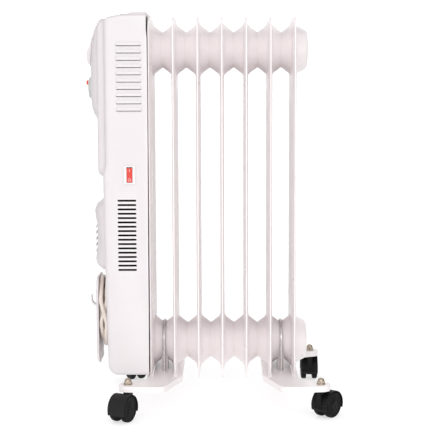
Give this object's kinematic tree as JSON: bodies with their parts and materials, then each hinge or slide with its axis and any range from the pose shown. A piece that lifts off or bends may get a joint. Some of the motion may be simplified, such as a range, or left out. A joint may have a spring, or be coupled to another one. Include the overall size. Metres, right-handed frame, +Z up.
{
  "type": "oil filled radiator heater",
  "caption": "Free-standing oil filled radiator: pressed fins on two oil headers, a control box with a fan outlet and cord store, and swivelling twin wheel casters.",
  "frame": {"origin": "on the floor, under the middle of the heater's footprint without its mains lead", "axes": "+X along the fin stack away from the controls, +Y across the stack to the left of someone facing the controls, +Z up"},
  "size_m": [0.3962, 0.3198, 0.613],
  "materials": {
    "fin_enamel": "baked gloss enamel",
    "bracket_enamel": "baked gloss enamel",
    "white_plastic": "fine satin moulding",
    "knob_plastic": "satin gloss",
    "grey_knob_plastic": "satin grey with a red pointer",
    "red_switch": "translucent red",
    "wheel_black": "moulded nylon",
    "hood_black": "moulded nylon",
    "plated_steel": "zinc plated",
    "nut_brass": "yellow passivated",
    "bare_steel": "mill finish",
    "shaft_brass": "turned",
    "dark_plastic": "moulded",
    "black_foam": "open cell foam",
    "heater_aluminium": "pressed fins",
    "cord_beige": "soft sheath",
    "plug_beige": "moulded"
  },
  "bodies": {
    "radiator": {"fin_1": "fin_enamel", "fin_2": "fin_enamel", "fin_3": "fin_enamel", "fin_4": "fin_enamel", "fin_5": "fin_enamel", "fin_6": "fin_enamel", "fin_7": "fin_enamel", "header_necks": "fin_enamel", "header_caps": "fin_enamel", "heating_element": "bare_steel", "back_plate": "bare_steel", "housing_shell": "white_plastic", "control_panel": "white_plastic", "fan_grille": "white_plastic", "cord_plate": "white_plastic", "carry_handle": "white_plastic", "filter_pads": "black_foam", "thermostat_body": "dark_plastic", "selector_body": "dark_plastic", "rocker_frame": "knob_plastic", "fan_motor": "bare_steel", "fan_duct": "dark_plastic", "fan_heater": "heater_aluminium", "thermal_cutout": "bare_steel", "terminal_block": "dark_plastic", "cord_gland": "plug_beige", "cord_hank": "cord_beige", "cord_lead_in": "cord_beige", "cord_lead_out": "cord_beige", "plug_body": "plug_beige", "plug_pins": "plated_steel", "foot_bracket_front": "bracket_enamel", "foot_bracket_rear": "bracket_enamel", "u_bolts": "plated_steel", "wing_nuts": "plated_steel", "caster_stems": "plated_steel", "caster_nuts": "nut_brass", "housing_screws": "plated_steel"},
    "caster_front_right": {"caster_hood_front_right": "hood_black", "caster_axle_front_right": "plated_steel"},
    "roller_front_right_a": {"wheel_front_right_a": "wheel_black"},
    "roller_front_right_b": {"wheel_front_right_b": "wheel_black"},
    "caster_front_left": {"caster_hood_front_left": "hood_black", "caster_axle_front_left": "plated_steel"},
    "roller_front_left_a": {"wheel_front_left_a": "wheel_black"},
    "roller_front_left_b": {"wheel_front_left_b": "wheel_black"},
    "caster_rear_right": {"caster_hood_rear_right": "hood_black", "caster_axle_rear_right": "plated_steel"},
    "roller_rear_right_a": {"wheel_rear_right_a": "wheel_black"},
    "roller_rear_right_b": {"wheel_rear_right_b": "wheel_black"},
    "caster_rear_left": {"caster_hood_rear_left": "hood_black", "caster_axle_rear_left": "plated_steel"},
    "roller_rear_left_a": {"wheel_rear_left_a": "wheel_black"},
    "roller_rear_left_b": {"wheel_rear_left_b": "wheel_black"},
    "thermostat_control": {"thermostat_knob": "knob_plastic", "thermostat_shaft": "shaft_brass"},
    "selector_control": {"selector_knob": "grey_knob_plastic", "selector_shaft": "shaft_brass"},
    "side_rocker": {"rocker_paddle": "red_switch"},
    "impeller": {"fan_impeller": "dark_plastic"}
  },
  "joints": [
    {"name": "swivel_front_right", "type": "hinge", "parent": "radiator", "child": "caster_front_right", "pos_m": [-0.12835, -0.12, 0.02], "axis": [0, 0, 1], "continuous": true},
    {"name": "roll_front_right_a", "type": "hinge", "parent": "caster_front_right", "child": "roller_front_right_a", "pos_m": [-0.13536, -0.13438, 0.02], "axis": [0.8988, -0.4384, 0], "continuous": true},
    {"name": "roll_front_right_b", "type": "hinge", "parent": "caster_front_right", "child": "roller_front_right_b", "pos_m": [-0.13536, -0.13438, 0.02], "axis": [0.8988, -0.4384, 0], "continuous": true},
    {"name": "swivel_front_left", "type": "hinge", "parent": "radiator", "child": "caster_front_left", "pos_m": [-0.12835, 0.12, 0.02], "axis": [0, 0, 1], "continuous": true},
    {"name": "roll_front_left_a", "type": "hinge", "parent": "caster_front_left", "child": "roller_front_left_a", "pos_m": [-0.13536, 0.13438, 0.02], "axis": [-0.8988, -0.4384, 0], "continuous": true},
    {"name": "roll_front_left_b", "type": "hinge", "parent": "caster_front_left", "child": "roller_front_left_b", "pos_m": [-0.13536, 0.13438, 0.02], "axis": [-0.8988, -0.4384, 0], "continuous": true},
    {"name": "swivel_rear_right", "type": "hinge", "parent": "radiator", "child": "caster_rear_right", "pos_m": [0.16285, -0.12, 0.02], "axis": [0, 0, 1], "continuous": true},
    {"name": "roll_rear_right_a", "type": "hinge", "parent": "caster_rear_right", "child": "roller_rear_right_a", "pos_m": [0.17335, -0.10792, 0.02], "axis": [-0.7547, 0.6561, 0], "continuous": true},
    {"name": "roll_rear_right_b", "type": "hinge", "parent": "caster_rear_right", "child": "roller_rear_right_b", "pos_m": [0.17335, -0.10792, 0.02], "axis": [-0.7547, 0.6561, 0], "continuous": true},
    {"name": "swivel_rear_left", "type": "hinge", "parent": "radiator", "child": "caster_rear_left", "pos_m": [0.16285, 0.12, 0.02], "axis": [0, 0, 1], "continuous": true},
    {"name": "roll_rear_left_a", "type": "hinge", "parent": "caster_rear_left", "child": "roller_rear_left_a", "pos_m": [0.16285, 0.136, 0.02], "axis": [-1, 0, 0], "continuous": true},
    {"name": "roll_rear_left_b", "type": "hinge", "parent": "caster_rear_left", "child": "roller_rear_left_b", "pos_m": [0.16285, 0.136, 0.02], "axis": [-1, 0, 0], "continuous": true},
    {"name": "thermostat_turn", "type": "hinge", "parent": "radiator", "child": "thermostat_control", "pos_m": [-0.18615, 0, 0.5555], "axis": [0.9962, 0, -0.0872], "range_deg": [0, 270]},
    {"name": "selector_turn", "type": "hinge", "parent": "radiator", "child": "selector_control", "pos_m": [-0.18735, 0, 0.499], "axis": [1, 0, 0], "range_deg": [0, 180]},
    {"name": "rocker_tilt", "type": "hinge", "parent": "radiator", "child": "side_rocker", "pos_m": [-0.12575, -0.078, 0.367], "axis": [1, 0, 0], "range_deg": [-16, 0]},
    {"name": "fan_spin", "type": "hinge", "parent": "radiator", "child": "impeller", "pos_m": [-0.13035, 0, 0.268], "axis": [0, 1, 0], "continuous": true}
  ]
}
